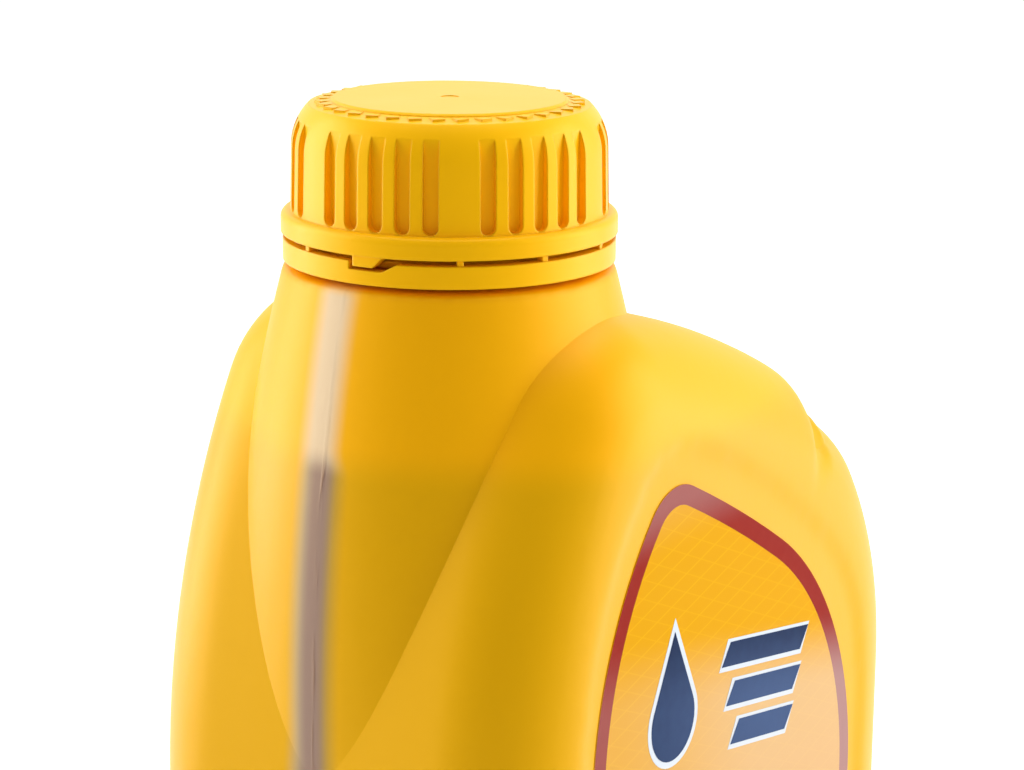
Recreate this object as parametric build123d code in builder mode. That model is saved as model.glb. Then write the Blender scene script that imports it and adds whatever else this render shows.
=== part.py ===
from build123d import *
from math import cos, radians, sin
import os

# Motor oil bottle of one litre: a flat blow-moulded body with its screw neck at one end.
# Sizes are millimetres and angles are degrees. The origin is the centre of the base and +Z is up.
# The labelled wide faces look to -Y and +Y, and the neck stands over the -X end.

# Body
body_width = 108.7
body_depth = 68.0
collar_height = 184.0
neck_inset = 30.6
edge_radius = 15.0
foot_radius = 5.0
wall = 1.2

# Front outline: tangent arcs from the apex beside the neck down to each side
apex_drop = 9.2
apex_reach = 1.9
near_crest_radius = 19.4
near_crest_turn = 60.8
far_crest_radius = 17.0
far_crest_turn = 12.5
far_flank_radius = 188.0
far_flank_turn = 12.8

# Round column under the neck, an arc that widens down to its foot
column_top_drop = 4.6
column_top_radius = 22.9
column_top_round = 0.8
column_radius = 30.3
column_arc_radius = 229.0
column_straight_drop = 66.0
column_foot_drop = 90.0

# Base push-up
pushup_height = 2.0
pushup_margin = 9.0
pushup_slope = 35.0

# Label panels and labels: a straight foot and sides under a crown of arcs, each a radius and a turn
panel_depth = 0.5
panel_foot = 16.0
panel_near_margin = 14.3
panel_far_margin = 16.4
panel_shoulder_drop = 66.1
panel_crown = ((52.8, 41.9), (12.1, 69.9), (150.0, 17.3))
face_corner_radius = 8.0
label_thickness = 0.15
label_foot = 22.0
label_near_margin = 16.5
label_far_margin = 19.1
label_shoulder_drop = 71.9
label_crown = ((55.4, 41.3), (8.7, 74.3), (282.0, 5.9))

# Finger groove across the far shoulder
grip_turn = 10.6
grip_radius = 6.6
grip_depth = 2.2
grip_fade = 2.2

# Neck finish
mouth_rise = 15.0
bore_radius = 16.3
root_radius = 17.9
thread_radius = 19.2
thread_lead = 4.2
thread_root_width = 1.7
thread_crest_width = 0.7
thread_turns = 1.7
thread_start_rise = 3.6
thread_start_angle = 20.0
thread_bury = 0.25
bead_radius = 20.4
bead_top_drop = 0.2
bead_height = 1.5
bead_slope = 0.7
neck_foot_radius = 18.6

# Cap
cap_height = 18.05
flange_radius = 23.0
flange_height = 2.9
flange_round = 1.0
grip_wall_foot_radius = 21.7
grip_wall_top_radius = 21.5
grip_wall_top = 11.5
crown_radius = 19.15
crown_rise = 17.2
thread_clearance = 0.35
cap_top_thickness = 1.6
flange_bore_radius = 20.95
flange_bore_height = 2.2
flange_bore_chamfer = 0.8
cap_thread_turns = 1.4

# Cap's grip slots: groups with a plain land between them
slot_groups = 6
slots_per_group = 5
slot_width = 2.05
slot_floor_radius = 20.5
slot_foot_rise = 3.0
land_angle = 218.9

# Cap's crown: a ring of fine teeth round the raised top disc
tooth_count = 36
tooth_width = 1.7
tooth_length = 1.6
tooth_slant = 25.0
tooth_ring_outer = 18.3
tooth_ring_drop = 0.4
tooth_ring_slope = 0.35
disc_radius = 16.1
disc_round = 0.3
gate_radius = 1.2
gate_depth = 0.1

# Tamper ring, its bridges and the cap's tab in its notch
ring_radius = 22.75
ring_thickness = 1.8
ring_top_drop = 0.8
ring_height = 3.0
lip_height = 1.3
lip_clearance = 0.6
bridge_count = 12
bridge_width = 0.9
bridge_gap = 0.05
bridge_inset = 0.2
bridge_angle = 9.1
tab_angle = 185.5
tab_drop = 1.45
tab_foot_width = 3.0
tab_slope_width = 1.4
notch_depth = 1.1
notch_clearance = 1.2
notch_slope_width = 2.1

# Liner and foil seal
liner_thickness = 1.2
liner_clearance = 0.3
foil_thickness = 0.15
foil_inset = 0.1

# How far a cutting tool runs past what it cuts, and the smallest distance that tells two places apart
cut_margin = 1.0
touch = 0.01

# Oil
oil_level_drop = 27.0
oil_clearance = 0.1

near_x = -body_width / 2
far_x = body_width / 2
neck_x = near_x + neck_inset
panel_y = body_depth / 2 - panel_depth
ring_bottom_drop = ring_top_drop + ring_height
cap_bore_radius = thread_radius + thread_clearance
neck_axis = Axis((neck_x, 0, 0), (0, 0, 1))
neck_section = Plane(origin=(neck_x, 0, collar_height), x_dir=(1, 0, 0), z_dir=(0, -1, 0))


def far_arcs(inset):
    """Arcs of the front outline from the apex down to the far side, drawn in by inset; returns the last."""
    rest = 90 - far_crest_turn - far_flank_turn
    crest = JernArc(start=(neck_x + apex_reach, collar_height - apex_drop - inset), tangent=(1, 0),
                    radius=far_crest_radius - inset, arc_size=-far_crest_turn)
    flank = JernArc(start=crest @ 1, tangent=crest % 1, radius=far_flank_radius - inset,
                    arc_size=-far_flank_turn)
    side_radius = (far_x - inset - (flank @ 1).X) / (1 - cos(radians(rest)))
    return JernArc(start=flank @ 1, tangent=flank % 1, radius=side_radius, arc_size=-rest)


def front_outline(inset):
    """The bottle's outline seen from the front, as arcs and lines, drawn in by inset."""
    rest = 90 - near_crest_turn
    with BuildLine() as outline:
        far_side = far_arcs(inset)
        crest = JernArc(start=(neck_x + apex_reach, collar_height - apex_drop - inset), tangent=(-1, 0),
                        radius=near_crest_radius - inset, arc_size=near_crest_turn)
        side_radius = ((crest @ 1).X - near_x - inset) / (1 - cos(radians(rest)))
        near_side = JernArc(start=crest @ 1, tangent=crest % 1, radius=side_radius, arc_size=rest)
        Polyline(near_side @ 1, (near_x + inset, inset), (far_x - inset, inset), far_side @ 1)
    return outline.line


def face_outline(near_margin, far_margin, shoulder_drop, crown, foot):
    """Panel or label on a wide face: a near side that leans in, a round crest and a long shoulder."""
    near = near_x + near_margin
    far = far_x - far_margin
    with BuildSketch() as face:
        with BuildLine() as outline:
            spot = Vector(near, collar_height - shoulder_drop)
            heading = Vector(0, 1)
            for radius, turn in crown:
                arc = JernArc(start=spot, tangent=heading, radius=radius, arc_size=-turn)
                spot = arc @ 1
                heading = arc % 1
            rest = 180 - sum(turn for radius, turn in crown)
            last_radius = (far - spot.X) / (1 - cos(radians(rest)))
            last = JernArc(start=spot, tangent=heading, radius=last_radius, arc_size=-rest)
            Polyline(last @ 1, (far, foot), (near, foot), (near, collar_height - shoulder_drop))
        make_face()
        fillet(face.vertices().group_by(Axis.Y)[0], face_corner_radius)
    return face.sketch


def grip_bar(radius):
    """Round bar across the far shoulder, bent round the body so that it leaves its surface at the corners."""
    side = far_arcs(0)
    place = grip_turn / (90 - far_crest_turn - far_flank_turn)
    spot = side @ place
    heading = side % place
    across = Plane(origin=(spot.X, 0, spot.Y), x_dir=(0, 1, 0), z_dir=(heading.X, 0, heading.Y))
    stand_off = grip_radius - grip_depth
    straight = body_depth / 2 - edge_radius
    bend = edge_radius + stand_off + grip_fade
    with BuildPart() as bar:
        with BuildLine(across) as path:
            Line((-straight, stand_off), (straight, stand_off))
            JernArc(start=(-straight, stand_off), tangent=(-1, 0), radius=bend, arc_size=90)
            JernArc(start=(straight, stand_off), tangent=(1, 0), radius=bend, arc_size=-90)
        with BuildSketch(Plane(origin=path.line @ 0, z_dir=path.line % 0)):
            Circle(radius)
        sweep(path=path.wire())
    return bar.part


def body_form(inset):
    """The bottle's closed form up to the top of its column, or its inside when inset by the wall."""
    half = body_depth / 2 - inset
    outline = front_outline(inset)
    with BuildPart() as form:
        with BuildSketch(Plane.XZ):
            add(outline)
            make_face()
        extrude(amount=half, both=True)
        wide_edges = form.edges().filter_by(lambda edge: abs(abs(edge.center().Y) - half) < touch)
        fillet(wide_edges.filter_by(lambda edge: edge.center().Z > inset + touch), edge_radius - inset)
        fillet(form.faces().sort_by(Axis.Z)[0].edges(), foot_radius - inset)
        add(grip_bar(grip_radius + inset), mode=Mode.SUBTRACT)
        # round column
        top = -column_top_drop - inset
        shoulder = (column_top_radius - inset, top - column_top_round)
        waist = (column_radius - inset, -column_straight_drop)
        foot = (column_radius - inset, -column_foot_drop)
        with BuildSketch(neck_section):
            with BuildLine():
                Polyline(foot, (0, -column_foot_drop), (0, top), (shoulder[0] - column_top_round, top))
                RadiusArc((shoulder[0] - column_top_round, top), shoulder, column_top_round)
                RadiusArc(shoulder, waist, column_arc_radius - inset)
                Line(waist, foot)
            make_face()
        revolve(axis=neck_axis)
        # push-up under the base
        with BuildSketch(Plane.XY.offset(inset)):
            margin = pushup_margin - inset
            RectangleRounded(body_width - 2 * inset - 2 * margin, body_depth - 2 * inset - 2 * margin,
                             edge_radius - pushup_margin + foot_radius)
        extrude(amount=pushup_height, taper=pushup_slope, mode=Mode.SUBTRACT)
        # label panels on both wide faces
        for side in (-1, 1):
            face = Plane(origin=(0, side * (half - panel_depth), 0), x_dir=(1, 0, 0), z_dir=(0, -1, 0))
            with BuildSketch(face):
                add(face_outline(panel_near_margin, panel_far_margin, panel_shoulder_drop, panel_crown,
                                 panel_foot))
            extrude(amount=-side * (panel_depth + cut_margin), mode=Mode.SUBTRACT)
    return form.part


def thread_ridge(root, crest, start_angle, start_rise, turns):
    """Helical ridge of a trapezoid section, from its buried root to its crest."""
    bury = thread_bury if root < crest else -thread_bury
    turned = radians(start_angle)
    start = Plane(origin=(neck_x, 0, collar_height + start_rise), x_dir=(cos(turned), sin(turned), 0))
    with BuildPart() as ridge:
        with BuildLine(start) as path:
            Helix(pitch=thread_lead, height=thread_lead * turns, radius=root)
        line = path.edges()[0]
        section = Plane(origin=line @ 0, x_dir=(cos(turned), sin(turned), 0), z_dir=line % 0)
        with BuildSketch(section):
            with BuildLine():
                Polyline((-bury, -thread_root_width / 2), (crest - root, -thread_crest_width / 2),
                         (crest - root, thread_crest_width / 2), (-bury, thread_root_width / 2), close=True)
            make_face()
        sweep(path=line, is_frenet=True)
    return ridge.part


def disc(radius, bottom, thickness):
    """Flat round piece on the neck's axis, its bottom at a height above the collar."""
    with BuildPart() as piece:
        with BuildSketch(Plane(origin=(neck_x, 0, collar_height + bottom))):
            Circle(radius)
        extrude(amount=thickness)
    return piece.part


def radial_plane(angle, radius):
    """Plane at collar height that looks out from the neck's axis, tangent to a radius at an angle."""
    out = Vector(cos(radians(angle)), sin(radians(angle)), 0)
    return Plane(origin=Vector(neck_x, 0, collar_height) + out * radius, x_dir=(-out.Y, out.X, 0), z_dir=out)


def radial_prism(angle, corners, reach):
    """Prism of an outline in widths and heights, run out radially at an angle over a reach of two radii."""
    with BuildPart() as prism:
        with BuildSketch(radial_plane(angle, reach[0])):
            with BuildLine():
                Polyline(*corners, close=True)
            make_face()
        extrude(amount=reach[1] - reach[0])
    return prism.part


def ring_shell(outer, inner, bottom, top):
    """Plain tube round the neck's axis, between two heights above the collar."""
    with BuildPart() as shell:
        with BuildSketch(Plane(origin=(neck_x, 0, collar_height + bottom))):
            Circle(outer)
            Circle(inner, mode=Mode.SUBTRACT)
        extrude(amount=top - bottom)
    return shell.part


# Bottle
with BuildPart() as bottle:
    add(body_form(0))
    with BuildSketch(neck_section):
        with BuildLine():
            Polyline(
                (0, -column_top_drop - wall),
                (neck_foot_radius, -column_top_drop - wall),
                (neck_foot_radius, -bead_top_drop - bead_height),
                (bead_radius, -bead_top_drop - bead_height),
                (bead_radius, -bead_top_drop - bead_slope),
                (root_radius + bead_slope, -bead_top_drop + bead_slope),
                (root_radius, -bead_top_drop + bead_slope),
                (root_radius, mouth_rise),
                (0, mouth_rise),
                close=True,
            )
        make_face()
    revolve(axis=neck_axis)
    add(thread_ridge(root_radius, thread_radius, thread_start_angle, thread_start_rise, thread_turns))
    add(body_form(wall), mode=Mode.SUBTRACT)
    bore_bottom = -column_top_drop - 2 * wall - cut_margin
    add(disc(bore_radius, bore_bottom, mouth_rise + cut_margin - bore_bottom), mode=Mode.SUBTRACT)
bottle.part.label = "bottle"

# Cap
with BuildPart() as cap:
    with BuildSketch(neck_section):
        with BuildLine():
            inner_top = cap_height - cap_top_thickness
            tooth_top = cap_height - tooth_ring_drop
            bore_foot = flange_bore_height + flange_bore_chamfer
            Line((0, inner_top), (0, cap_height))
            Line((0, cap_height), (disc_radius - disc_round, cap_height))
            Line((disc_radius - disc_round, cap_height), (disc_radius, cap_height - disc_round))
            Line((disc_radius, cap_height - disc_round), (disc_radius, tooth_top))
            Line((disc_radius, tooth_top), (tooth_ring_outer, tooth_top - tooth_ring_slope))
            Line((tooth_ring_outer, tooth_top - tooth_ring_slope), (crown_radius, crown_rise))
            TangentArc((grip_wall_top_radius, grip_wall_top), (crown_radius, crown_rise), tangent=(0, 1))
            Line((grip_wall_top_radius, grip_wall_top), (grip_wall_foot_radius, flange_height))
            Line((grip_wall_foot_radius, flange_height), (flange_radius - flange_round, flange_height))
            JernArc(start=(flange_radius - flange_round, flange_height), tangent=(1, 0), radius=flange_round,
                    arc_size=-90)
            Line((flange_radius, flange_height - flange_round), (flange_radius, 0))
            Line((flange_radius, 0), (flange_bore_radius, 0))
            Line((flange_bore_radius, 0), (flange_bore_radius, flange_bore_height))
            Line((flange_bore_radius, flange_bore_height), (cap_bore_radius, bore_foot))
            Line((cap_bore_radius, bore_foot), (cap_bore_radius, inner_top))
            Line((cap_bore_radius, inner_top), (0, inner_top))
        make_face()
    revolve(axis=neck_axis)
    # crown's teeth and gate mark
    with BuildSketch(Plane(origin=(neck_x, 0, collar_height + tooth_top))):
        with PolarLocations((disc_radius + tooth_ring_outer) / 2, tooth_count):
            Rectangle(tooth_length, tooth_width, rotation=tooth_slant)
    extrude(amount=-tooth_ring_slope)
    with BuildSketch(Plane(origin=(neck_x, 0, collar_height + cap_height))):
        Circle(gate_radius)
    extrude(amount=-gate_depth, mode=Mode.SUBTRACT)
    # grip slots
    step = 360 / (slot_groups * (slots_per_group + 1))
    for group in range(slot_groups):
        for place in range(1, slots_per_group + 1):
            angle = land_angle + (group * (slots_per_group + 1) + place) * step
            with BuildSketch(radial_plane(angle, slot_floor_radius)):
                with Locations((0, slot_foot_rise + slot_width / 2)):
                    Circle(slot_width / 2)
                with Locations((0, (slot_foot_rise + slot_width / 2 + cap_height) / 2)):
                    Rectangle(slot_width, cap_height - slot_foot_rise - slot_width / 2)
            extrude(amount=flange_radius - slot_floor_radius, mode=Mode.SUBTRACT)
    # tab for the tamper ring's notch
    tab = radial_prism(tab_angle, [
        (-tab_foot_width / 2, 0),
        (-tab_foot_width / 2, -tab_drop),
        (tab_foot_width / 2, -tab_drop),
        (tab_foot_width / 2 + tab_slope_width, 0),
    ], (flange_bore_radius - cut_margin, ring_radius + cut_margin))
    tab_shell = ring_shell(ring_radius, flange_bore_radius, -tab_drop - cut_margin, 0)
    add(tab.intersect(tab_shell))
    add(thread_ridge(cap_bore_radius, root_radius + thread_clearance, thread_start_angle,
                     thread_start_rise + thread_lead / 2, cap_thread_turns))
cap.part.label = "cap"

# Tamper ring
with BuildPart() as tamper_ring:
    with BuildSketch(neck_section):
        with BuildLine():
            lip_radius = neck_foot_radius + lip_clearance
            Polyline(
                (ring_radius - ring_thickness, -ring_top_drop),
                (ring_radius, -ring_top_drop),
                (ring_radius, -ring_bottom_drop),
                (lip_radius + lip_clearance, -ring_bottom_drop),
                (lip_radius, -ring_bottom_drop + lip_clearance),
                (lip_radius, -ring_bottom_drop + lip_height),
                (ring_radius - ring_thickness, -ring_bottom_drop + lip_height + lip_clearance / 2),
                close=True,
            )
        make_face()
    revolve(axis=neck_axis)
    notch_foot = tab_foot_width / 2 + notch_clearance / 2
    add(radial_prism(tab_angle, [
        (-notch_foot, 0),
        (-notch_foot, -ring_top_drop - notch_depth),
        (notch_foot + tab_slope_width / 2, -ring_top_drop - notch_depth),
        (notch_foot + tab_slope_width / 2 + notch_slope_width, -ring_top_drop),
        (notch_foot + tab_slope_width / 2 + notch_slope_width, 0),
    ], (lip_radius - cut_margin, ring_radius + cut_margin)), mode=Mode.SUBTRACT)
    for number in range(bridge_count):
        angle = bridge_angle + number * 360 / bridge_count
        if abs(angle - tab_angle) < 180 / bridge_count:
            continue
        bridge = radial_prism(angle, [
            (-bridge_width / 2, -ring_top_drop),
            (bridge_width / 2, -ring_top_drop),
            (bridge_width / 2, -bridge_gap),
            (-bridge_width / 2, -bridge_gap),
        ], (ring_radius - ring_thickness + bridge_inset, ring_radius - bridge_inset))
        add(bridge)
tamper_ring.part.label = "tamper_ring"

# Liner and foil seal
with BuildPart() as foil_seal:
    add(disc(root_radius - foil_inset, mouth_rise, foil_thickness))
foil_seal.part.label = "foil_seal"

with BuildPart() as cap_liner:
    liner_bottom = cap_height - cap_top_thickness - liner_thickness
    add(disc(cap_bore_radius - liner_clearance, liner_bottom, liner_thickness))
cap_liner.part.label = "cap_liner"

# Labels
with BuildPart() as front_label:
    with BuildSketch(Plane(origin=(0, -panel_y, 0), x_dir=(1, 0, 0), z_dir=(0, -1, 0))):
        add(face_outline(label_near_margin, label_far_margin, label_shoulder_drop, label_crown, label_foot))
    extrude(amount=label_thickness)
front_label.part.label = "front_label"

with BuildPart() as back_label:
    add(mirror(front_label.part, about=Plane.XZ, mode=Mode.PRIVATE))
back_label.part.label = "back_label"

# Oil
with BuildPart() as oil_fill:
    add(body_form(wall + oil_clearance))
    split(bisect_by=Plane.XY.offset(collar_height - oil_level_drop), keep=Keep.BOTTOM)
oil_fill.part.label = "oil_fill"

os.makedirs("parts", exist_ok=True)
for piece in (bottle, cap, tamper_ring, cap_liner, foil_seal, front_label, back_label, oil_fill):
    export_step(piece.part, f"parts/{piece.part.label}.step")
print("oil, litres:", round(oil_fill.part.volume / 1e6, 3))
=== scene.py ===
from math import asin, cos, pi, radians, sin

import bmesh
import bpy
from mathutils import Matrix, Vector
from mathutils.kdtree import KDTree


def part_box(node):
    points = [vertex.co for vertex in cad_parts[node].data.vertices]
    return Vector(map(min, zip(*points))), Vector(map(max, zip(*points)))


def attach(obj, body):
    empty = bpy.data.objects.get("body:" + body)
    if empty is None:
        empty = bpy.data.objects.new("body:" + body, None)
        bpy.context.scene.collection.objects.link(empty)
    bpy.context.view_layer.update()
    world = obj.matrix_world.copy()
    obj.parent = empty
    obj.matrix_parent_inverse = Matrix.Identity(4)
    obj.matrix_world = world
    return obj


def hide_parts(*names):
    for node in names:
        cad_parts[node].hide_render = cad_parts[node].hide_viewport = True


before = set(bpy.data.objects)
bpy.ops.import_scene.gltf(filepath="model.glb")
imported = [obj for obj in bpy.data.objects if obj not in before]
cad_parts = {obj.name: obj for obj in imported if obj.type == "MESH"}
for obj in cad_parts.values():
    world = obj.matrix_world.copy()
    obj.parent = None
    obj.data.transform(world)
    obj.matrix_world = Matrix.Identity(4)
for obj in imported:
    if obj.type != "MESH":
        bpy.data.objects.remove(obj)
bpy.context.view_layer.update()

# Lengths are metres in the part's own frame, and angles are degrees.
MM = 0.001

# Places that the finish needs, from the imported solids
cap_low, cap_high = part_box("cap")
neck_x = (cap_low.x + cap_high.x) / 2
tab_drop = 1.45 * MM
collar_z = cap_low.z + tab_drop
mouth_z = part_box("bottle")[1].z
oil_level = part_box("oil_fill")[1].z
label_low, label_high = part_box("front_label")

# Camera, solved from the photograph
camera_offset = Vector((-310.9 * MM, -221.8 * MM, 72.97 * MM))
camera_heading = Vector((0.8270, 0.5620, 0.0)).normalized()
camera_pitch = 13.97
camera_roll = 0.48
lens_mm = 99.93
sensor_mm = 36.0
clip_start = 0.01

# Lamps, placed round a spot above the foot: one on each side and one above, with their powers in watts
lit_spot = Vector((0, 0, 0.12))
side_width = 0.7
side_height = 0.9
side_distance = 0.75
side_rise = Vector((0, 0, 0.15))
left_forward = 0.10
side_power = 7.6
top_width = 0.8
top_rise = Vector((0, 0, 0.9))
top_forward = 0.2
top_power = 6.5

# Surroundings: their light on the object, and the floor's glow for the camera, close by and far off
ambient = 0.36
near_glow = 0.42
far_glow = 0.72
near_distance = 0.2
far_distance = 1.2
floor_reach = 6.0

# View stripe in the wall: its edges across the bottle, its colours' places, and where it ends
stripe_far_edge = 4.2 * MM
stripe_dry_edge = -0.9 * MM
stripe_wet_edge = -2.2 * MM
stripe_flank_start = 0.2 * MM
stripe_pale_width = 2.6 * MM
stripe_soft = 1.7 * MM
stripe_end_x = -30 * MM
stripe_end_soft = 2 * MM
stripe_top = collar_z - 4 * MM
stripe_top_soft = 2 * MM

# Oil behind the wall: how far its edge blurs in the stripe, above and below, and in the yellow
wet_above = 2.0 * MM
wet_below = 2.2 * MM
soak_soft = 3 * MM

# Parting line beside the stripe
seam_y = 0.5 * MM
seam_reach = 0.45 * MM
seam_core = 0.1 * MM
seam_dry_share = 0.2
seam_tint = 0.45

# Bottle skin: an even mesh up to the column's top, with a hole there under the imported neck
column_top = collar_z - 4.6 * MM
skin_octree_depth = 8
skin_scale = 0.74
skin_step = 1.0 * MM
skin_smoothing = 3
cover_radius = 17.5 * MM
weld_reach = 0.002 * MM
sharp_angle = 35
facing_share = 0.9

# Folds beside the column that stay crisp in the skin
fold_angle = 5
fold_reach = 32.5 * MM
fold_top = column_top - 4 * MM
fold_snap = 0.62 * MM
fold_spacing = 0.1 * MM

# Finger groove across the far shoulder: its place, its slope, and how much deeper the skin runs in it
groove_reach = 56.6 * MM
groove_drop = 30.4 * MM
groove_slope = 37.5
groove_depth = 2.8 * MM
groove_above = 10 * MM
groove_below = 12 * MM
groove_power = 1.5
groove_full_y = 30 * MM
groove_end_y = 34 * MM
shoulder_thickness = 15 * MM

# Cap: the rounding of its edges in the light
edge_round = 0.35 * MM

# Label: its border, the lift of its print, and two sets of fine lines, each with a slope and a strength
border_width = 2.8 * MM
print_lift = 0.03 * MM
hatch_pitch = 2.7 * MM
hatch_reach = 0.16 * MM
hatch_core = 0.03 * MM
hatch_sets = ((0.30, 0.5), (-0.42, 0.3))
hatch_middle = 0.45
hatch_low = 0.25
hatch_high = 0.85

# Label's warmer foot: its start and full depth below the label's top, stronger at the narrow end
warm_drop = 38 * MM
warm_full_drop = 75 * MM
warm_wide_x = 12 * MM
warm_narrow_x = -22 * MM
warm_wide = 0.35
warm_narrow = 0.90

# Painted reflection of the label film's gloss, which pales the print: below a slanted line across the label,
# more towards the wide end, and along the top edge
reflection_drop = 62.5 * MM
reflection_slope = 0.2
reflection_soft = 6 * MM
reflection_narrow_x = -35 * MM
reflection_wide_x = 10 * MM
reflection_narrow = 0.10
reflection_wide = 0.32
reflection_top = 0.15
reflection_top_field = 0.05
reflection_top_drop = 42 * MM
reflection_top_full = 34 * MM

# Label design, measured from the neck's axis and the collar: an oil drop with its rim
drop_x = 6 * MM
drop_z = -66 * MM
drop_radius = 5.7 * MM
drop_tip = 13 * MM
drop_rim = 0.9 * MM
drop_rim_tip = 2 * MM
drop_steps = 28

# Slanted bars with their rims, each bar with its steps to the next one down
bar_count = 3
bar_start = 19 * MM
bar_start_step = 1.5 * MM
bar_end = 42 * MM
bar_end_step = -2 * MM
bar_z = -62 * MM
bar_z_step = -6.2 * MM
bar_height = 3.2 * MM
bar_slant = 2.4 * MM
bar_fall = 0.16
bar_rim = 0.6 * MM
bar_rim_start = 0.7 * MM
bar_rim_end = 0.3 * MM

# Thin lines under them
line_count = 2
line_start = 4 * MM
line_end = 46 * MM
line_z = -83 * MM
line_z_step = -3.5 * MM
line_height = 1 * MM
line_slant = 0.3 * MM

# Colours, linear
YELLOW = (0.93, 0.44, 0.001, 1.0)
DEEP_YELLOW = (0.84, 0.34, 0.001, 1.0)
WET_YELLOW = (0.75, 0.385, 0.001, 1.0)
CAP_YELLOW = (0.97, 0.51, 0.001, 1.0)
CAP_DEEP = (0.92, 0.44, 0.001, 1.0)
GOLDEN_TINT = (1.0, 0.6, 0.1, 1.0)
STRIPE_DRY = (0.72, 0.55, 0.36, 1.0)
STRIPE_OIL = (0.27, 0.18, 0.155, 1.0)
STRIPE_FLANK = (0.38, 0.25, 0.05, 1.0)
STRIPE_PALE = (0.42, 0.33, 0.20, 1.0)
LABEL_FIELD = (0.68, 0.325, 0.001, 1.0)
LABEL_FOOT = (0.70, 0.24, 0.03, 1.0)
LABEL_LINE = (0.80, 0.45, 0.005, 1.0)
# pale tone of the reflection painted on the label's film over the field and border
LABEL_REFLECTION = (0.66, 0.65, 0.62, 1.0)
LABEL_BORDER = (0.26, 0.014, 0.008, 1.0)
LABEL_BORDER_LIGHT = (0.33, 0.030, 0.018, 1.0)
NAVY = (0.006, 0.013, 0.05, 1.0)
NAVY_LIGHT = (0.02, 0.05, 0.12, 1.0)
# pale tone of the reflection painted over the navy ink
NAVY_REFLECTION = (0.14, 0.23, 0.47, 1.0)
SILVER = (0.62, 0.68, 0.75, 1.0)
BROWN = (0.18, 0.08, 0.04, 1.0)
FOAM = (0.86, 0.86, 0.83, 1.0)
FOIL = (0.80, 0.80, 0.82, 1.0)
OIL = (0.30, 0.12, 0.015, 1.0)
STUDIO = (0.86, 0.86, 0.86, 1.0)
WHITE = (1.0, 1.0, 1.0, 1.0)

# Brightness that the grain of a plain material goes down to
grain_shade = 0.85


class Tree:
    """Short ways to write the nodes of a material or of the world."""

    def __init__(self, owner, output="ShaderNodeOutputMaterial"):
        self.owner = owner
        owner.use_nodes = True
        self.tree = owner.node_tree
        self.tree.nodes.clear()
        self.output = self.tree.nodes.new(output)

    def node(self, kind, **settings):
        made = self.tree.nodes.new(kind)
        for name, value in settings.items():
            setattr(made, name, value)
        return made

    def put(self, socket, value):
        """Give a socket a link or a constant."""
        if isinstance(value, bpy.types.NodeSocket):
            self.tree.links.new(value, socket)
        else:
            socket.default_value = value

    def maths(self, operation, first, second=0.0, third=0.0):
        made = self.node("ShaderNodeMath", operation=operation)
        for socket, value in zip(made.inputs, (first, second, third)):
            self.put(socket, value)
        return made.outputs[0]

    def between(self, share, low, high):
        """A share of 0 to 1, spread from low to high."""
        return self.maths("MULTIPLY_ADD", share, high - low, low)

    def mix(self, share, first, second):
        made = self.node("ShaderNodeMix", data_type="RGBA")
        self.put(made.inputs[0], share)
        self.put(made.inputs[6], first)
        self.put(made.inputs[7], second)
        return made.outputs[2]

    def ramp(self, value, none, full):
        """A soft step from 0 at one value to 1 at the other, which may be the lower one."""
        made = self.node("ShaderNodeMapRange", interpolation_type="SMOOTHSTEP")
        for socket, number in zip(made.inputs, (value, none, full, 0.0, 1.0)):
            self.put(socket, number)
        return made.outputs[0]

    def place(self):
        return self.node("ShaderNodeTexCoord").outputs["Object"]

    def axes(self):
        made = self.node("ShaderNodeSeparateXYZ")
        self.put(made.inputs[0], self.place())
        return made.outputs

    def noise(self, scale, detail=2.0, stretch=(1.0, 1.0, 1.0)):
        """Cloudy grain, with its scale in waves a metre."""
        mapping = self.node("ShaderNodeMapping")
        self.put(mapping.inputs["Vector"], self.place())
        self.put(mapping.inputs["Scale"], stretch)
        made = self.node("ShaderNodeTexNoise")
        self.put(made.inputs["Vector"], mapping.outputs[0])
        self.put(made.inputs["Scale"], scale)
        self.put(made.inputs["Detail"], detail)
        return made.outputs[0]

    def bump(self, height, distance, strength, normal=None):
        made = self.node("ShaderNodeBump")
        self.put(made.inputs["Height"], height)
        self.put(made.inputs["Distance"], distance)
        self.put(made.inputs["Strength"], strength)
        if normal is not None:
            self.put(made.inputs["Normal"], normal)
        return made.outputs[0]

    def finish(self, shader):
        self.put(self.output.inputs["Surface"], shader)
        return self.owner

    def principled(self, colour, roughness, normal, **constants):
        """The material, finished with the general shader."""
        made = self.node("ShaderNodeBsdfPrincipled")
        self.put(made.inputs["Base Color"], colour)
        self.put(made.inputs["Roughness"], roughness)
        self.put(made.inputs["Normal"], normal)
        for name, value in constants.items():
            self.put(made.inputs[name.replace("_", " ")], value)
        return self.finish(made.outputs[0])


def material_tree(name):
    return Tree(bpy.data.materials.new(name))


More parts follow.
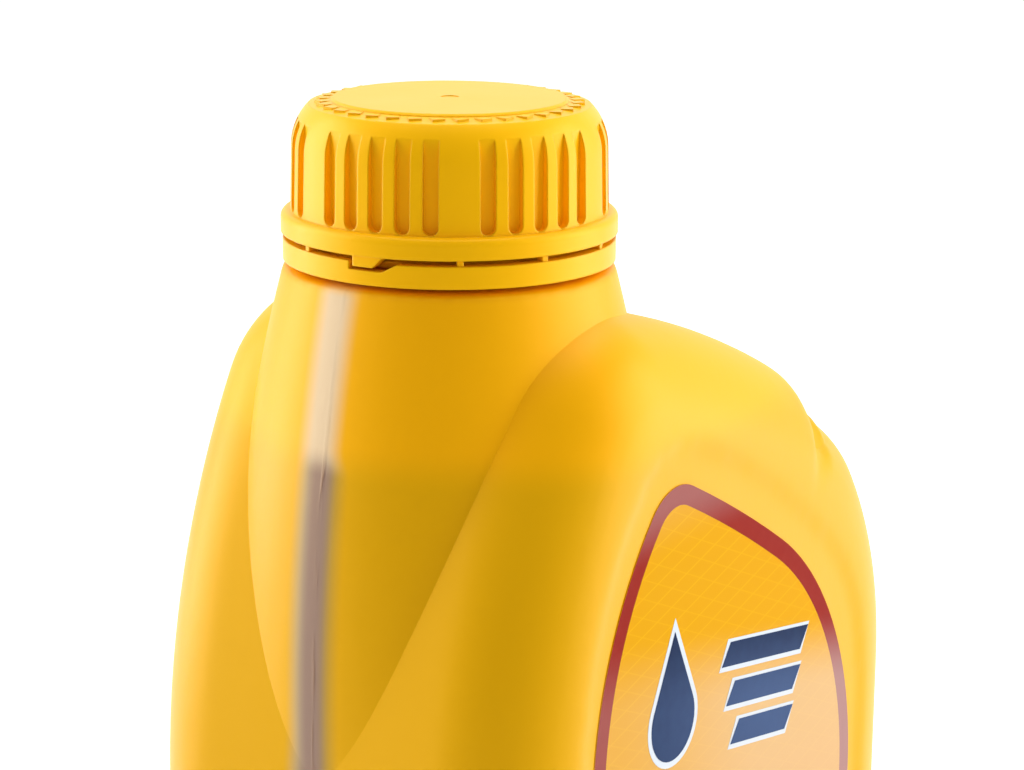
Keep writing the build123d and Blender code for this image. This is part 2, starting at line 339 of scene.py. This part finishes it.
def wall_material():
    """Semi-gloss polyethylene with the view stripe, the parting line and the oil showing through."""
    tree = material_tree("bottle_wall")
    x, y, z = tree.axes()
    # the view stripe, whose near edge moves out below the oil's level
    wet = tree.ramp(z, oil_level + wet_above, oil_level - wet_below)
    edge = tree.between(wet, stripe_dry_edge, stripe_wet_edge)
    near_side = tree.ramp(tree.maths("SUBTRACT", y, edge), -stripe_soft, stripe_soft)
    far_side = tree.ramp(y, stripe_far_edge + stripe_soft, stripe_far_edge - stripe_soft)
    band = tree.maths("MULTIPLY", near_side, far_side)
    near_end = tree.ramp(x, stripe_end_x + stripe_end_soft, stripe_end_x)
    below_ring = tree.ramp(z, stripe_top, stripe_top - stripe_top_soft)
    stripe = tree.maths("MULTIPLY", tree.maths("MULTIPLY", band, near_end), below_ring)
    # its colours below the oil's level
    flank = tree.ramp(y, stripe_flank_start, stripe_wet_edge)
    pale = tree.ramp(y, stripe_far_edge - stripe_pale_width, stripe_far_edge)
    oily = tree.mix(pale, tree.mix(flank, STRIPE_OIL, STRIPE_FLANK), STRIPE_PALE)
    # the parting line, broken into streaks and clearer where oil stands behind it
    off_seam = tree.maths("ABSOLUTE", tree.maths("SUBTRACT", y, seam_y))
    streaks = tree.noise(scale=900.0, detail=3.0, stretch=(1.0, 1.0, 0.08))
    streaks = tree.ramp(streaks, none=0.35, full=0.65)
    seam = tree.maths("MULTIPLY", tree.ramp(off_seam, seam_reach, seam_core), streaks)
    seam = tree.maths("MULTIPLY", seam, tree.between(wet, seam_dry_share, 1.0))
    seam_share = tree.maths("MULTIPLY", seam, seam_tint)
    stripe_colour = tree.mix(seam_share, tree.mix(wet, STRIPE_DRY, oily), BROWN)
    # the wall's own yellow, a shade deeper where oil stands behind it
    cloud = tree.noise(scale=35.0)
    deep_share = tree.maths("MULTIPLY", cloud, 0.12)
    yellow = tree.mix(deep_share, YELLOW, DEEP_YELLOW)
    soaked = tree.ramp(z, oil_level + soak_soft, oil_level - soak_soft)
    yellow = tree.mix(soaked, yellow, WET_YELLOW)
    colour = tree.mix(stripe, yellow, stripe_colour)
    # moulded skin: fine orange peel, long low waves, and the parting line as a low ridge
    peel = tree.maths("MULTIPLY", tree.noise(scale=1400.0), 0.02)
    waves = tree.maths("MULTIPLY", tree.noise(scale=160.0, stretch=(1.0, 1.0, 0.35)), 0.06)
    ridge = tree.maths("MULTIPLY", seam, 0.12)
    height = tree.maths("ADD", tree.maths("ADD", peel, waves), ridge)
    normal = tree.bump(height, distance=1 * MM, strength=0.6)
    roughness = tree.between(cloud, 0.36, 0.44)
    return tree.principled(colour, roughness, normal, IOR=1.5, Specular_Tint=GOLDEN_TINT)


def cap_material():
    """Injection-moulded yellow, a little glossier than the wall, with edges that round off in the light."""
    tree = material_tree("cap_plastic")
    cloud = tree.noise(scale=60.0)
    deep_share = tree.maths("MULTIPLY", cloud, 0.4)
    yellow = tree.mix(deep_share, CAP_YELLOW, CAP_DEEP)
    rounded = tree.node("ShaderNodeBevel", samples=6)
    tree.put(rounded.inputs["Radius"], edge_round)
    normal = tree.bump(tree.noise(scale=900.0), distance=0.03 * MM, strength=0.5, normal=rounded.outputs[0])
    roughness = tree.between(cloud, 0.30, 0.38)
    return tree.principled(yellow, roughness, normal, IOR=1.5, Specular_Tint=GOLDEN_TINT)


def with_painted_reflection(tree, colour, top_reflection_share, pale=LABEL_REFLECTION):
    """A colour of the label's print with a painted reflection of the film's gloss mixed in at the label's foot
    and along its top edge.
    """
    x, _, z = tree.axes()
    level = tree.maths("MULTIPLY_ADD", x, reflection_slope, z)
    foot = tree.ramp(level, collar_z - reflection_drop + reflection_soft, collar_z - reflection_drop - reflection_soft)
    wide = tree.ramp(x, reflection_narrow_x, reflection_wide_x)
    share = tree.maths("MULTIPLY", foot, tree.between(wide, reflection_narrow, reflection_wide))
    top = tree.ramp(z, collar_z - reflection_top_drop, collar_z - reflection_top_full)
    return tree.mix(tree.maths("MULTIPLY_ADD", top, top_reflection_share, share), colour, pale)


def hatching(tree, x, z):
    """Share of the fine slanted lines, which fade towards the label's foot."""
    lines = 0.0
    for slope, strength in hatch_sets:
        across = tree.maths("MULTIPLY_ADD", x, -slope, z)
        wave = tree.maths("PINGPONG", across, hatch_pitch / 2)
        line = tree.maths("MULTIPLY", tree.ramp(wave, hatch_reach, hatch_core), strength)
        lines = tree.maths("MAXIMUM", lines, line)
    middle_z = label_low.z + hatch_middle * (label_high.z - label_low.z)
    upper = tree.ramp(z, middle_z, label_high.z)
    return tree.maths("MULTIPLY", lines, tree.between(upper, hatch_low, hatch_high))


def label_field_material():
    """Golden field with fine crossed lines, warmer towards its foot, and paler there and along its top edge
    from a painted reflection of the film's gloss.
    """
    tree = material_tree("label_field")
    x, _, z = tree.axes()
    foot = tree.ramp(z, label_high.z - warm_drop, label_high.z - warm_full_drop)
    narrow = tree.ramp(x, warm_wide_x, warm_narrow_x)
    warm = tree.maths("MULTIPLY", foot, tree.between(narrow, warm_wide, warm_narrow))
    colour = tree.mix(warm, LABEL_FIELD, LABEL_FOOT)
    colour = tree.mix(hatching(tree, x, z), colour, LABEL_LINE)
    # painted reflection of the film's gloss at the label's foot and along its top edge
    colour = with_painted_reflection(tree, colour, reflection_top_field)
    normal = tree.bump(tree.noise(scale=700.0, detail=3.0), distance=0.03 * MM, strength=0.4)
    return tree.principled(colour, roughness=0.30, normal=normal,
                           Specular_IOR_Level=0.02, Specular_Tint=GOLDEN_TINT)


def print_material(name, colour, light, pale=LABEL_REFLECTION):
    """Printed ink under the label's film, with a light grain between two shades, and a painted reflection of
    the film's gloss at the label's foot and along its top edge.
    """
    tree = material_tree(name)
    grain = tree.noise(scale=500.0, detail=4.0)
    light_share = tree.maths("MULTIPLY", grain, 0.5)
    # the ink's colour with the film's reflection painted in at the foot and top edge
    shade = with_painted_reflection(tree, tree.mix(light_share, colour, light), reflection_top, pale)
    normal = tree.bump(grain, distance=0.02 * MM, strength=0.4)
    return tree.principled(shade, roughness=0.25, normal=normal, Specular_IOR_Level=0.02)


def plain_material(name, colour, roughness, scale, depth, metallic=0.0):
    """One colour with a fine grain in its tone and its surface."""
    tree = material_tree(name)
    grain = tree.noise(scale, detail=3.0)
    darker = tuple(grain_shade * part for part in colour[:3]) + (1.0,)
    normal = tree.bump(grain, depth, strength=0.6)
    return tree.principled(tree.mix(grain, colour, darker), roughness, normal, Metallic=metallic)


def paint(piece, material):
    """Give a piece one material."""
    piece.data.materials.clear()
    piece.data.materials.append(material)


def add_piece(name, mesh, body):
    """Mesh piece that rides on a body, smooth but for its sharp edges."""
    mesh.shade_smooth()
    mesh.set_sharp_from_angle(angle=radians(sharp_angle))
    piece = bpy.data.objects.new(name, mesh)
    bpy.context.scene.collection.objects.link(piece)
    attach(piece, body)
    return piece


def welded(node):
    """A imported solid's mesh in the part's frame, with the points joined where faces meet."""
    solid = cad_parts[node]
    mesh = bmesh.new()
    mesh.from_mesh(solid.data)
    mesh.transform(solid.matrix_world)
    bmesh.ops.remove_doubles(mesh, verts=mesh.verts, dist=weld_reach)
    return mesh


def from_neck(spot):
    """Distance of a place from the neck's axis."""
    return (Vector((spot.x, spot.y)) - Vector((neck_x, 0))).length


def on_rim(face):
    """Whether a face is the flat rim of the bottle's mouth."""
    return face.normal.z > facing_share and face.calc_center_median().z > mouth_z - weld_reach


def outside_faces(mesh):
    """The faces on the outside of the bottle's wall, from its foot up to the mouth's rim."""
    lowest = min(mesh.faces, key=lambda face: face.calc_center_median().z)
    reached = {lowest}
    front = [lowest]
    while front:
        for edge in front.pop().edges:
            for face in edge.link_faces:
                if face not in reached and not on_rim(face):
                    reached.add(face)
                    front.append(face)
    return reached


def even_body():
    """The body below the neck as a fine even mesh."""
    blank = welded("bottle")
    outside = outside_faces(blank)
    inside = [face for face in blank.faces if face not in outside]
    bmesh.ops.delete(blank, geom=inside, context="FACES")
    everything = blank.verts[:] + blank.edges[:] + blank.faces[:]
    top = (0, 0, column_top - weld_reach)
    bmesh.ops.bisect_plane(blank, geom=everything, plane_co=top, plane_no=(0, 0, 1), clear_outer=True)
    bmesh.ops.holes_fill(blank, edges=[edge for edge in blank.edges if edge.is_boundary])
    mesh = bpy.data.meshes.new("body_blank")
    blank.to_mesh(mesh)
    blank.free()
    body = bpy.data.objects.new("body_blank", mesh)
    bpy.context.scene.collection.objects.link(body)
    remesh = body.modifiers.new("remesh", "REMESH")
    remesh.mode = "SHARP"
    remesh.octree_depth = skin_octree_depth
    remesh.scale = skin_scale
    remesh.sharpness = 1.0
    remesh.use_remove_disconnected = True
    shape = bpy.data.meshes.new_from_object(body.evaluated_get(bpy.context.evaluated_depsgraph_get()))
    bpy.data.objects.remove(body)
    return shape


def column_folds():
    """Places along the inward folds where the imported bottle's column meets its body."""
    solid = welded("bottle")
    places = []
    for face in outside_faces(solid):
        for edge in face.edges:
            start, end = (point.co for point in edge.verts)
            low_enough = max(start.z, end.z) < fold_top
            close = max(from_neck(start), from_neck(end)) < fold_reach
            if low_enough and close and edge.calc_face_angle_signed() < -radians(fold_angle):
                steps = max(1, round(edge.calc_length() / fold_spacing))
                places += [start.lerp(end, step / steps) for step in range(steps + 1)]
    solid.free()
    tree = KDTree(len(places))
    for index, place in enumerate(places):
        tree.insert(place, index)
    tree.balance()
    return tree


def soften(skin):
    """Round the skin's edges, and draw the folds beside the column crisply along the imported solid's."""
    folds = column_folds()
    mark = skin.verts.layers.int.new("on_fold")
    held = set()
    for point in skin.verts:
        place, _, distance = folds.find(point.co)
        if distance < fold_snap:
            point.co = place
            point[mark] = 1
            held.add(point)
    rounded = [point for point in skin.verts if point not in held]
    for _ in range(skin_smoothing):
        bmesh.ops.smooth_vert(skin, verts=rounded, factor=0.5,
                              use_axis_x=True, use_axis_y=True, use_axis_z=True)
    # a fold that crosses a face from corner to corner splits it there
    for face in list(skin.faces):
        on_fold = [point for point in face.verts if point in held]
        if len(face.verts) == 4 and len(on_fold) == 2 and skin.edges.get(on_fold) is None:
            bmesh.utils.face_split(face, *on_fold)


def deepen_groove(skin):
    """Press the finger groove deeper into the far shoulder, fading out at the two wide faces."""
    outward = Vector((sin(radians(groove_slope)), 0, cos(radians(groove_slope))))
    along = Vector((outward.z, 0, -outward.x))
    for point in skin.verts:
        away = point.co - Vector((neck_x + groove_reach, 0, collar_z - groove_drop))
        width = groove_below if away.dot(along) > 0 else groove_above
        share = 1 - abs(away.dot(along)) / width
        if away.dot(outward) > -shoulder_thickness and share > 0:
            fade = (groove_end_y - abs(away.y)) / (groove_end_y - groove_full_y)
            point.co -= outward * groove_depth * share ** groove_power * min(1.0, max(0.0, fade))


def make_bottle_skin():
    """The bottle with its rounded body on the outside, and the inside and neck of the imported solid."""
    skin = bmesh.new()
    skin.from_mesh(even_body())
    soften(skin)
    deepen_groove(skin)
    covered = [face for face in skin.faces
               if face.calc_center_median().z > column_top - skin_step
               and from_neck(face.calc_center_median()) < cover_radius]
    bmesh.ops.delete(skin, geom=covered, context="FACES")
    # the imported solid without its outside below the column's top, and with its edge there sunk into the skin
    rest = welded("bottle")
    cut = column_top + weld_reach
    replaced = [face for face in outside_faces(rest) if face.calc_center_median().z < cut]
    bmesh.ops.delete(rest, geom=replaced, context="FACES")
    foot = [edge for edge in rest.edges if edge.is_boundary]
    sunk = bmesh.ops.extrude_edge_only(rest, edges=foot)["geom"]
    sunk_points = [item for item in sunk if isinstance(item, bmesh.types.BMVert)]
    bmesh.ops.translate(rest, vec=(0, 0, -skin_step), verts=sunk_points)
    mesh = bpy.data.meshes.new("bottle_skin")
    rest.to_mesh(mesh)
    rest.free()
    skin.from_mesh(mesh)
    skin.to_mesh(mesh)
    skin.free()
    piece = add_piece("bottle_skin", mesh, "bottle")
    on_fold = mesh.attributes["on_fold"].data
    for edge in mesh.edges:
        if on_fold[edge.vertices[0]].value and on_fold[edge.vertices[1]].value:
            edge.use_edge_sharp = True
    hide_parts("bottle")
    paint(piece, wall_material())


def make_label(name, node, outward, field_material, border_material):
    """A label with its field and border as separate faces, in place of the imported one."""
    plate = welded(node)
    print_faces = [face for face in plate.faces if face.normal.y * outward > facing_share]
    flat = bmesh.ops.dissolve_faces(plate, faces=print_faces)["region"]
    border = bmesh.ops.inset_region(plate, faces=flat, thickness=border_width, use_even_offset=True)
    for face in border["faces"]:
        face.material_index = 1
    mesh = bpy.data.meshes.new(name)
    plate.to_mesh(mesh)
    plate.free()
    piece = add_piece(name, mesh, "bottle")
    mesh.materials.append(field_material)
    mesh.materials.append(border_material)
    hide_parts(node)


def flat_print(name, outlines, lift, outward, material):
    """Printed shapes on a label, from outlines in its plane that start at the neck's axis and the collar."""
    plane = outward * (lift - label_low.y)
    mesh = bmesh.new()
    for outline in outlines:
        points = [mesh.verts.new((neck_x + x, plane, collar_z + z)) for x, z in outline]
        mesh.faces.new(points)
    bmesh.ops.recalc_face_normals(mesh, faces=mesh.faces)
    for face in mesh.faces:
        if face.normal.y * outward < 0:
            face.normal_flip()
    data = bpy.data.meshes.new(name)
    mesh.to_mesh(data)
    mesh.free()
    piece = add_piece(name, data, "bottle")
    paint(piece, material)


def drop_outline(radius, tip):
    """An oil drop: a round foot that runs up to a tip."""
    lean = asin(radius / tip)
    turns = [-lean + (pi + 2 * lean) * step / drop_steps for step in range(drop_steps + 1)]
    round_foot = [(drop_x + radius * cos(turn), drop_z - radius * sin(turn)) for turn in turns]
    return [(drop_x, drop_z + tip)] + round_foot


def bar_outline(start, end, z, height, slant):
    """A slanted bar whose top and foot fall from its start to its end."""
    end_z = z - (end - start) * bar_fall
    return [(start, z), (end, end_z), (end + slant, end_z + height), (start + slant, z + height)]


def make_label_design():
    """A generic design in place of the maker's: an oil drop, slanted bars, and thin lines under them."""
    navy = print_material("ink_navy", NAVY, NAVY_LIGHT, NAVY_REFLECTION)
    silver = print_material("ink_silver", SILVER, SILVER)
    brown = print_material("ink_brown", BROWN, BROWN)
    shapes = [drop_outline(drop_radius, drop_tip)]
    rims = [drop_outline(drop_radius + drop_rim, drop_tip + drop_rim_tip)]
    for row in range(bar_count):
        start = bar_start + row * bar_start_step
        end = bar_end + row * bar_end_step
        z = bar_z + row * bar_z_step
        shapes.append(bar_outline(start, end, z, bar_height, bar_slant))
        rims.append(bar_outline(start - bar_rim_start, end + bar_rim_end, z - bar_rim,
                                bar_height + 2 * bar_rim, bar_slant))
    lines = [bar_outline(line_start, line_end, line_z + row * line_z_step, line_height, line_slant)
             for row in range(line_count)]
    for side, outward in (("front", -1), ("back", 1)):
        flat_print(f"{side}_design_rim", rims, print_lift, outward, silver)
        flat_print(f"{side}_design", shapes, 2 * print_lift, outward, navy)
        flat_print(f"{side}_design_lines", lines, print_lift, outward, brown)


def make_labels():
    """The two labels and the design on them."""
    field_material = label_field_material()
    border_material = print_material("label_border", LABEL_BORDER, LABEL_BORDER_LIGHT)
    make_label("front_label_print", "front_label", -1, field_material, border_material)
    make_label("back_label_print", "back_label", 1, field_material, border_material)
    make_label_design()


def dress_nodes():
    """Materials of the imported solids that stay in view."""
    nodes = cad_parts
    cap_yellow = cap_material()
    paint(nodes["cap"], cap_yellow)
    paint(nodes["tamper_ring"], cap_yellow)
    foam = plain_material("liner_foam", FOAM, roughness=0.6, scale=900.0, depth=0.05 * MM)
    foil = plain_material("foil", FOIL, roughness=0.3, scale=300.0, depth=0.05 * MM, metallic=1.0)
    oil = plain_material("oil", OIL, roughness=0.08, scale=20.0, depth=0.01 * MM)
    paint(nodes["cap_liner"], foam)
    paint(nodes["foil_seal"], foil)
    paint(nodes["oil_fill"], oil)


def setup_camera():
    """The photograph's camera: its place, its tilt and its long lens."""
    data = bpy.data.cameras.new("camera")
    data.lens = lens_mm
    data.sensor_width = sensor_mm
    data.sensor_fit = "HORIZONTAL"
    data.clip_start = clip_start
    camera = bpy.data.objects.new("camera", data)
    bpy.context.scene.collection.objects.link(camera)
    pitch = radians(camera_pitch)
    forward = camera_heading * cos(pitch) - Vector((0, 0, sin(pitch)))
    right = forward.cross(Vector((0, 0, 1))).normalized()
    up = right.cross(forward)
    roll = radians(camera_roll)
    rolled_right = right * cos(roll) + up * sin(roll)
    rolled_up = up * cos(roll) - right * sin(roll)
    axes = Matrix((rolled_right, rolled_up, -forward)).transposed().to_4x4()
    place = Vector((neck_x, 0, collar_z)) + camera_offset
    camera.matrix_world = Matrix.Translation(place) @ axes
    bpy.context.scene.camera = camera


def area_light(name, place, width, height, power):
    """Soft rectangular lamp that looks from its place at the lit spot."""
    data = bpy.data.lights.new(name, "AREA")
    data.shape = "RECTANGLE"
    data.size = width
    data.size_y = height
    data.energy = power
    lamp = bpy.data.objects.new(name, data)
    bpy.context.scene.collection.objects.link(lamp)
    lamp.location = place
    lamp.rotation_euler = (lit_spot - place).to_track_quat("-Z", "Y").to_euler()


def setup_lamps():
    """A soft lamp on each side of the camera's line of view, and one above."""
    right = Vector((camera_heading.y, -camera_heading.x, 0))
    raised = lit_spot + side_rise
    left_place = raised - right * side_distance + camera_heading * left_forward
    right_place = raised + right * side_distance
    top_place = lit_spot + top_rise + camera_heading * top_forward
    area_light("left_lamp", left_place, side_width, side_height, side_power)
    area_light("right_lamp", right_place, side_width, side_height, side_power)
    area_light("top_lamp", top_place, top_width, top_width, top_power)


def white_rays(tree):
    """1 for the rays that meet a white background: the camera's, and those that gloss or glass sends on."""
    rays = tree.node("ShaderNodeLightPath").outputs
    seen = tree.maths("MAXIMUM", rays["Is Camera Ray"], rays["Is Glossy Ray"])
    return tree.maths("MAXIMUM", seen, rays["Is Transmission Ray"])


def setup_surroundings():
    """Even white surroundings that look white and light the object softly."""
    world = bpy.data.worlds.new("studio")
    bpy.context.scene.world = world
    tree = Tree(world, "ShaderNodeOutputWorld")
    background = tree.node("ShaderNodeBackground")
    tree.put(background.inputs["Color"], WHITE)
    tree.put(background.inputs["Strength"], tree.between(white_rays(tree), ambient, 1.0))
    tree.finish(background.outputs[0])


def floor_material():
    """Pale and matt, lifted to white for what the camera sees of it, and less so beside the object."""
    tree = material_tree("studio_floor")
    diffuse = tree.node("ShaderNodeBsdfDiffuse")
    tree.put(diffuse.inputs["Color"], STUDIO)
    distance = tree.node("ShaderNodeVectorMath", operation="LENGTH")
    tree.put(distance.inputs[0], tree.place())
    far = tree.ramp(distance.outputs["Value"], near_distance, far_distance)
    strength = tree.between(far, near_glow, far_glow)
    glow = tree.node("ShaderNodeEmission")
    tree.put(glow.inputs["Strength"], tree.maths("MULTIPLY", white_rays(tree), strength))
    both = tree.node("ShaderNodeAddShader")
    tree.put(both.inputs[0], diffuse.outputs[0])
    tree.put(both.inputs[1], glow.outputs[0])
    return tree.finish(both.outputs[0])


def lay_floor():
    """The floor that the bottle stands on."""
    corners = [(x * floor_reach, y * floor_reach, 0) for x, y in ((-1, -1), (1, -1), (1, 1), (-1, 1))]
    mesh = bpy.data.meshes.new("floor")
    mesh.from_pydata(corners, [], [(0, 1, 2, 3)])
    mesh.materials.append(floor_material())
    floor = bpy.data.objects.new("floor", mesh)
    bpy.context.scene.collection.objects.link(floor)


setup_camera()
setup_lamps()
setup_surroundings()
lay_floor()
bpy.context.scene.view_settings.view_transform = "Standard"
dress_nodes()
make_bottle_skin()
make_labels()
